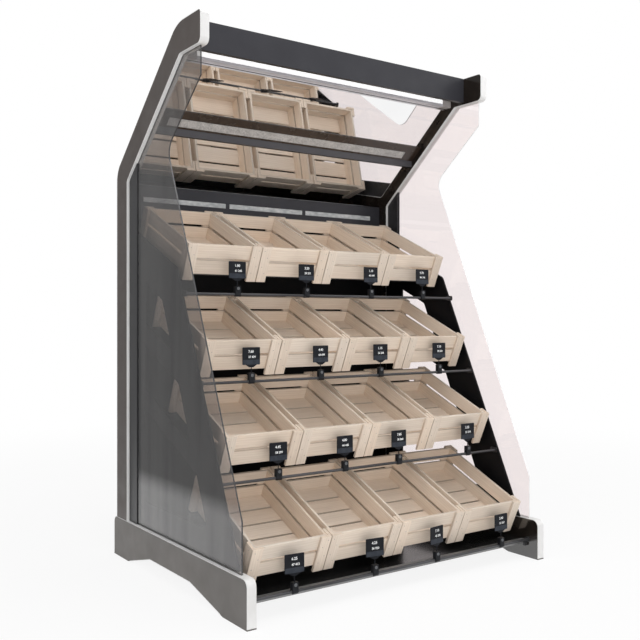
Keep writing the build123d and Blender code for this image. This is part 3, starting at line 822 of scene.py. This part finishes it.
fibre_share = between(poplar, fibre, least=0.0, most=0.16)
base_wood = shade(poplar, figure, wood_cream, wood_pale, low=0.3, high=0.62)
lined = mix_colours(poplar, growth_share, base_wood, wood_line)
fibred = mix_colours(poplar, fibre_share, lined, wood_line)
# Each board's own tone, with the painted shade of its narrow edges.
toned = mix_colours(poplar, 1.0, fibred, carried["board_tone_and_shade"]["Color"], "MULTIPLY")
ended = mix_colours(poplar, carried["end_share"]["Fac"], toned, wood_end)
coat(poplar, wood_shader, ended, between(poplar, fibre, least=0.55, most=0.75))
wood_shader.inputs["Specular IOR Level"].default_value = wood_shine
emboss(poplar, wood_shader, fibre, depth=0.0003, strength=0.3)
nail_steel = plain_finish(
    "nail_steel", nail_grey, nail_grey, metal=0.6, smooth=0.45, rough=0.6, patch=0.002
)


def finish_new_faces(shape, known, finish_number):
    """Gives a finish to the faces that a shape didn't have before."""
    for face in shape.faces:
        if face not in known:
            face.material_index = finish_number


def add_board(crate, chance, middle, size, grain):
    """Adds one board to a crate: its middle, its size and the axis its grain runs along."""
    layers = crate.verts.layers
    place_layer = layers.float_vector.get("grain_place")
    tone_and_shade_layer = layers.float_color.get("board_tone_and_shade")
    end_layer = layers.float.get("end_share")
    before = set(crate.verts)
    corners = bmesh.ops.create_cube(crate, size=1)["verts"]
    bmesh.ops.scale(crate, vec=Vector(size), verts=corners)
    edges = list({edge for corner in corners for edge in corner.link_edges})
    bmesh.ops.bevel(
        crate, geom=edges, offset=board_eased, segments=1, profile=0.5, affect="EDGES"
    )
    wide, thin = sorted({0, 1, 2} - {grain}, key=lambda axis: -size[axis])
    start = [chance.uniform(0, grain_spread) for _ in range(3)]
    light = chance.uniform(*board_lights)
    warm = chance.uniform(-board_warmth, board_warmth)
    tone = (light * (1 + warm), light, light * (1 - warm))
    shift = Vector([chance.uniform(-board_shift, board_shift) for _ in range(3)])
    end_from = size[grain] / 2 - board_eased / 2
    sawn_and_shade_from = size[wide] / 2 - board_eased / 2
    for vertex in crate.verts:
        if vertex in before:
            continue
        here = vertex.co
        ways = (here[grain], here[wide], here[thin])
        vertex[place_layer] = tuple(way + far for way, far in zip(ways, start))
        # Narrow edges darker: partly sawn wood, partly painted shade in the joints.
        sawn_and_shade = board_sawn_and_shade if abs(here[wide]) > sawn_and_shade_from else 1
        vertex[tone_and_shade_layer] = (*(value * sawn_and_shade for value in tone), 1)
        vertex[end_layer] = board_end if abs(here[grain]) > end_from else 0
        vertex.co = here + Vector(middle) + shift


def add_nail(crate, x, y, z, facing):
    """Adds a nail head to a leg, turned about the axis that makes it face out."""
    known = set(crate.faces)
    bmesh.ops.create_cone(
        crate,
        cap_ends=True,
        segments=nail_sides,
        radius1=nail_radius,
        radius2=nail_radius,
        depth=2 * nail_proud,
        matrix=Matrix.Translation((x, y, z)) @ Matrix.Rotation(pi / 2, 4, facing),
    )
    finish_new_faces(crate, known, 1)


def make_crate(tier, column):
    """One crate, nailed up in its own directions and set on its rails."""
    node = f"crate_{tier}_{column}"
    low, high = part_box(node)
    chance = random.Random(100 * tier + column)
    crate = bmesh.new()
    crate.verts.layers.float_vector.new("grain_place")
    crate.verts.layers.float_color.new("board_tone_and_shade")
    crate.verts.layers.float.new("end_share")
    wall_height = 2 * slat_height + slot_height
    height = leg_proud + wall_height + leg_drop
    half = crate_width / 2
    middle = crate_length / 2
    across = half - leg_thickness - slat_thickness
    upper = -leg_proud - slat_height / 2
    lower = upper - slat_height - slot_height
    corners = ((-1, -1), (-1, 1), (1, -1), (1, 1))
    boards = []
    for x, y in corners:
        leg_y = middle + y * (middle - leg_thickness / 2)
        spot = (x * (half - front_leg_width / 2), leg_y, -height / 2)
        boards.append((spot, (front_leg_width, leg_thickness, height), 2))
        leg_y = middle + y * (middle - leg_thickness - side_leg_width / 2)
        spot = (x * (half - leg_thickness / 2), leg_y, -height / 2)
        boards.append((spot, (leg_thickness, side_leg_width, height), 2))
    for z in (upper, lower):
        for y in (-1, 1):
            spot = (0, middle + y * (middle - leg_thickness - slat_thickness / 2), z)
            boards.append((spot, (2 * across, slat_thickness, slat_height), 0))
        for x in (-1, 1):
            spot = (x * (across + slat_thickness / 2), middle, z)
            size = (slat_thickness, crate_length - 2 * leg_thickness, slat_height)
            boards.append((spot, size, 1))
    inside = crate_length - 2 * leg_thickness - 2 * slat_thickness
    board_width = (inside - (crate_floor_boards - 1) * crate_floor_gap) / crate_floor_boards
    for number in range(crate_floor_boards):
        y = middle + (number - (crate_floor_boards - 1) / 2) * (board_width + crate_floor_gap)
        spot = (0, y, -leg_proud - wall_height + crate_floor_thickness / 2)
        boards.append((spot, (2 * across, board_width, crate_floor_thickness), 0))
    for spot, size, grain in boards:
        add_board(crate, chance, spot, size, grain)
    for z in (upper, lower):
        for x, y in corners:
            for step, rise in nail_spots:
                add_nail(crate, x * (half - step), middle + y * middle, z + rise, "X")
                into = middle + y * (middle - leg_thickness - step)
                add_nail(crate, x * half, into, z + rise, "Y")
    spot = ((low.x + high.x) / 2, low.y, high.z - crate_length * sin(tilt))
    crate.transform(Matrix.Translation(spot) @ Matrix.Rotation(tilt, 4, "X"))
    piece = start_piece(node + "_boards", crate, (poplar, nail_steel), node)
    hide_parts(node)


tiers = range(1, tier_count + 1)
stands = [(tier, column) for tier in tiers for column in range(1, column_count + 1)]
for tier, column in stands:
    make_crate(tier, column)

# The tag rods: round steel bar in front of each tier, with a flat tab welded on at
# each end. A pan-head screw through each long tab holds it to the gable, and small
# brackets carry the bottom rod.
rod_black = (0.035, 0.035, 0.038)
rod_grey = (0.070, 0.070, 0.075)
rod_grain = (0.04, 1, 1)
tag_top_rise = 0.119
tab_thickness = 0.003
tab_screw_back = 0.018
screw_radius = 0.0042
screw_sides = 20
screw_rings = ((1.0, 0.0), (0.97, 0.22), (0.78, 0.42), (0.42, 0.52))
recess_long = 0.36
recess_short = 0.13
recess_rise = 0.2
bracket_reach = 0.012
bracket_width = 0.011
bracket_back = 0.004
bracket_high = 0.004
bracket_low = 0.024

rod_steel = painted_steel(
    "rod_steel", rod_black, rod_grey, metal=0.45, smooth=0.28, rough=0.42, grain=rod_grain
)
dress("tag_rods", rod_steel)


def rod_middle(tier):
    """Where a tier's rod runs, from the tags that stand over it."""
    low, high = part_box(f"tag_{tier}_1")
    return (low.y + high.y) / 2, high.z - tag_top_rise


def add_band(shape, first, second):
    """Adds a band of faces between two loops of corners."""
    for step in range(len(first)):
        after = (step + 1) % len(first)
        shape.faces.new((first[step], first[after], second[after], second[step]))


def add_turned(shape, place, loops):
    """Adds a form of loops, each with its reaches and its rise: local z points out."""
    rings = [
        [
            shape.verts.new(
                place
                @ Vector(
                    (
                        reach * cos(2 * pi * step / len(reaches)),
                        reach * sin(2 * pi * step / len(reaches)),
                        rise,
                    )
                )
            )
            for step, reach in enumerate(reaches)
        ]
        for reaches, rise in loops
    ]
    for outer, inner in zip(rings, rings[1:]):
        add_band(shape, outer, inner)
    shape.faces.new(rings[-1])


def add_screw(shape, place, radius):
    """Adds a domed screw head with a cross recess."""
    loops = [([radius * share] * screw_sides, radius * rise) for share, rise in screw_rings]
    recess = [
        radius * (recess_short if step % (screw_sides // 4) else recess_long)
        for step in range(screw_sides)
    ]
    loops.append((recess, radius * recess_rise))
    add_turned(shape, place, loops)


inner_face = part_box("fascia")[1].x
brackets = bmesh.new()
rod_y, rod_z = rod_middle(tier_count)
near, far = rod_y + bracket_back, rod_y + bracket_back + bracket_width
foot, head = rod_z - bracket_low, rod_z - bracket_high
for side in (-1, 1):
    ends = sorted((side * inner_face, side * (inner_face - bracket_reach)))
    add_length(brackets, [(near, foot), (far, foot), (far, head), (near, head)], *ends)
rod_brackets = start_piece("rod_brackets", brackets, (rod_steel,))
screws = bmesh.new()
for tier in tiers[:-1]:
    rod_y, rod_z = rod_middle(tier)
    for side in (-1, 1):
        facing_in = Matrix.Rotation(-side * pi / 2, 4, "Y")
        spot = (side * (inner_face - tab_thickness), rod_y + tab_screw_back, rod_z)
        add_screw(screws, Matrix.Translation(spot) @ facing_in, screw_radius)
tab_screws = start_piece("tab_screws", screws, (rod_steel,))

# The tag holders: black moulded clips that snap on to the rods from above. A round
# boss with a hollow in its face stands in front of each clip's socket, painted
# lighter than the clip as a highlight.
clip_black = (0.008, 0.0085, 0.010)
clip_black_light = (0.014, 0.015, 0.018)
clip_shine = 0.15
clip_round = 0.0007
# The boss is the clip's black plastic painted lighter: a painted highlight.
boss_painted_highlight = (0.10, 0.105, 0.115)
boss_painted_highlight_paler = (0.15, 0.155, 0.165)
block_depth = 0.015
boss_sides = 24
boss_radius = 0.0055
boss_hollow = 0.0026
boss_proud = 0.0016
boss_rise = 0.0215
boss_profile = (
    (boss_radius, 0),
    (boss_radius, boss_proud * 0.7),
    (boss_radius * 0.94, boss_proud),
    (boss_hollow * 1.12, boss_proud),
    (boss_hollow, boss_proud * 0.8),
    (boss_hollow, boss_proud * 0.1),
)

clip_plastic = plain_finish(
    "clip_plastic",
    clip_black,
    clip_black_light,
    metal=0,
    smooth=0.35,
    rough=0.5,
    patch=0.02,
    shine=clip_shine,
)
dress("tag_clips", clip_plastic, clip_round)
# Painted highlight: the boss is lighter than the black clip it belongs to.
boss_plastic_painted_highlight = plain_finish(
    "boss_plastic_painted_highlight", boss_painted_highlight, boss_painted_highlight_paler, metal=0, smooth=0.32, rough=0.45, patch=0.02
)
bosses = bmesh.new()
for tier, column in stands:
    rod_y, rod_z = rod_middle(tier)
    low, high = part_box(f"tag_{tier}_{column}")
    spot = ((low.x + high.x) / 2, rod_y - block_depth / 2, rod_z + boss_rise)
    facing_front = Matrix.Translation(spot) @ Matrix.Rotation(pi / 2, 4, "X")
    add_turned(bosses, facing_front, [([reach] * boss_sides, rise) for reach, rise in boss_profile])
clip_bosses = start_piece("clip_bosses", bosses, (boss_plastic_painted_highlight,))

# The price tags: slate black plastic plates, each moulded with a pocket lip, a
# gusset and a stem that turns in its clip, and lettered with plain figures.
tag_black = (0.010, 0.011, 0.014)
tag_black_light = (0.015, 0.016, 0.020)
tag_shine = 0.1
lip_blue = (0.026, 0.030, 0.040)
lip_blue_light = (0.040, 0.046, 0.058)
lip_shine = 0.15
chalk_white = (0.90, 0.90, 0.90)
chalk_white_light = (0.96, 0.96, 0.96)
tag_width = 0.070
tag_height = 0.061
tag_thickness = 0.003
tag_corner = 0.003
tag_corner_steps = 5
tag_eased = 0.0004
tag_lip_height = 0.0175
tag_lip_proud = 0.0009
tag_lip_inset = 0.0006
tag_lip_corner = 0.0024
tag_lip_sunk = 0.0001
moulding_eased = 0.0003
gusset_width = 0.045
gusset_height = 0.009
gusset_tip = 0.015
gusset_lap = 0.0002
stem_sides = 20
stem_radius = 0.0016
stem_foot_rise = 0.0175
stem_head_rise = 0.049
price_height = 0.0125
price_drop = 0.0155
code_height = 0.0105
code_drop = 0.034
code_shift = 0.004
figure_shifts = (-0.004, 0.002)
figure_depth = 0.00008
figure_weight = 0.0003
figure_steps = 2

tag_plastic = plain_finish(
    "tag_plastic",
    tag_black,
    tag_black_light,
    metal=0,
    smooth=0.4,
    rough=0.55,
    patch=0.02,
    shine=tag_shine,
)
lip_plastic = plain_finish(
    "lip_plastic",
    lip_blue,
    lip_blue_light,
    metal=0,
    smooth=0.34,
    rough=0.46,
    patch=0.02,
    shine=lip_shine,
)
chalk = plain_finish(
    "chalk_figures", chalk_white, chalk_white_light, metal=0, smooth=0.7, rough=0.85, patch=0.001
)


def add_slab(shape, outline, thickness, eased, finish_number=0):
    """Adds a flat piece of an outline in x and z, centred on y, with eased rims."""
    known = set(shape.faces)
    middle_x, middle_z = (sum(values) / len(outline) for values in zip(*outline))
    width, height = (max(values) - min(values) for values in zip(*outline))
    rims = []
    for side in (-1, 1):
        rim = [shape.verts.new((x, side * (thickness / 2 - eased), z)) for x, z in outline]
        face = [
            shape.verts.new(
                (
                    middle_x + (x - middle_x) * (1 - 2 * eased / width),
                    side * thickness / 2,
                    middle_z + (z - middle_z) * (1 - 2 * eased / height),
                )
            )
            for x, z in outline
        ]
        add_band(shape, rim, face)
        shape.faces.new(face)
        rims.append(rim)
    add_band(shape, *rims)
    finish_new_faces(shape, known, finish_number)


def rounded_outline(width, low, high, corner):
    """The corners of a plate with rounded corners, from low to high."""
    points = []
    for x, z, turn in (
        (width / 2 - corner, high - corner, 0),
        (-width / 2 + corner, high - corner, 1),
        (-width / 2 + corner, low + corner, 2),
        (width / 2 - corner, low + corner, 3),
    ):
        for step in range(tag_corner_steps + 1):
            angle = (turn + step / tag_corner_steps) * pi / 2
            points.append((x + corner * cos(angle), z + corner * sin(angle)))
    return points


def add_figures(shape, words, height, x, z, finish_number):
    """Adds a line of figures to the front of a tag."""
    line = bpy.data.curves.new("figures", "FONT")
    line.body = words
    line.size = height
    line.align_x = "CENTER"
    line.align_y = "CENTER"
    line.extrude = figure_depth / 2
    line.offset = figure_weight
    line.resolution_u = figure_steps
    drawn = bpy.data.objects.new("figures", line)
    bpy.context.scene.collection.objects.link(drawn)
    bpy.context.view_layer.update()
    flat = bpy.data.meshes.new_from_object(
        drawn.evaluated_get(bpy.context.evaluated_depsgraph_get())
    )
    front = -tag_thickness / 2 - figure_depth / 2
    flat.transform(Matrix.Translation((x, front, z)) @ Matrix.Rotation(pi / 2, 4, "X"))
    for face in flat.polygons:
        face.material_index = finish_number
    shape.from_mesh(flat)
    bpy.data.objects.remove(drawn)
    bpy.data.meshes.remove(flat)
    bpy.data.curves.remove(line)


swing = {
    joint["child"]: joint["range_deg"] for joint in frame["joints"] if joint["type"] == "hinge"
}


def make_tag(tier, column, chance):
    """One tag, lettered and turned on its stem as it stands over its clip."""
    node = f"tag_{tier}_{column}"
    low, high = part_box(node)
    bottom = tag_top_rise - tag_height
    tag = bmesh.new()
    plate = rounded_outline(tag_width, bottom, tag_top_rise, tag_corner)
    add_slab(tag, plate, tag_thickness, tag_eased)
    lip_start = len(tag.verts)
    lip = rounded_outline(
        tag_width - 2 * tag_lip_inset,
        bottom + tag_lip_inset,
        bottom + tag_lip_height,
        tag_lip_corner,
    )
    add_slab(tag, lip, tag_lip_proud, moulding_eased, 1)
    tag.verts.ensure_lookup_table()
    for vertex in tag.verts[lip_start:]:
        vertex.co.y -= tag_thickness / 2 + tag_lip_proud / 2 - tag_lip_sunk
    gusset = [
        (-gusset_width / 2, bottom + gusset_lap),
        (-gusset_tip / 2, bottom - gusset_height),
        (gusset_tip / 2, bottom - gusset_height),
        (gusset_width / 2, bottom + gusset_lap),
    ]
    add_slab(tag, gusset, tag_thickness, moulding_eased)
    bmesh.ops.create_cone(
        tag,
        cap_ends=True,
        segments=stem_sides,
        radius1=stem_radius,
        radius2=stem_radius,
        depth=stem_head_rise - stem_foot_rise,
        matrix=Matrix.Translation((0, 0, (stem_head_rise + stem_foot_rise) / 2)),
    )
    price = f"{chance.randint(1, 9)}.{chance.randint(1, 9)}{chance.choice('05')}"
    code = f"{chance.randint(11, 98)} {chance.randint(101, 989)}"
    shift = chance.uniform(*figure_shifts)
    add_figures(tag, price, price_height, shift, tag_top_rise - price_drop, 2)
    add_figures(tag, code, code_height, shift + code_shift, tag_top_rise - code_drop, 2)
    rod_y, rod_z = rod_middle(tier)
    turn = -radians(sum(swing[node]) / 2)
    place = Matrix.Translation(((low.x + high.x) / 2, rod_y, rod_z)) @ Matrix.Rotation(turn, 4, "Z")
    tag.transform(place)
    piece = start_piece(node + "_plate", tag, (tag_plastic, lip_plastic, chalk), node)
    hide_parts(node)


tag_chance = random.Random(31)
for tier, column in stands:
    make_tag(tier, column, tag_chance)

# The panel screws: dark countersunk caps along the edges of the back panel, where
# it is fixed to the uprights and the hood from behind.
panel_screw_radius = 0.006
panel_screw_inset = 0.022
panel_screw_rows = 6

back_low, back_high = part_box("back_panel")
panel_screw_span = back_high.z - back_low.z - 2 * panel_screw_inset
heads = bmesh.new()
facing_back = Matrix.Rotation(-pi / 2, 4, "X")
for row in range(panel_screw_rows):
    share = row / (panel_screw_rows - 1)
    height = back_low.z + panel_screw_inset + share * panel_screw_span
    for side in (-1, 1):
        spot = (side * (back_high.x - panel_screw_inset), back_high.y, height)
        add_screw(heads, Matrix.Translation(spot) @ facing_back, panel_screw_radius)
panel_screws = start_piece("panel_screws", heads, (rail_coat,))
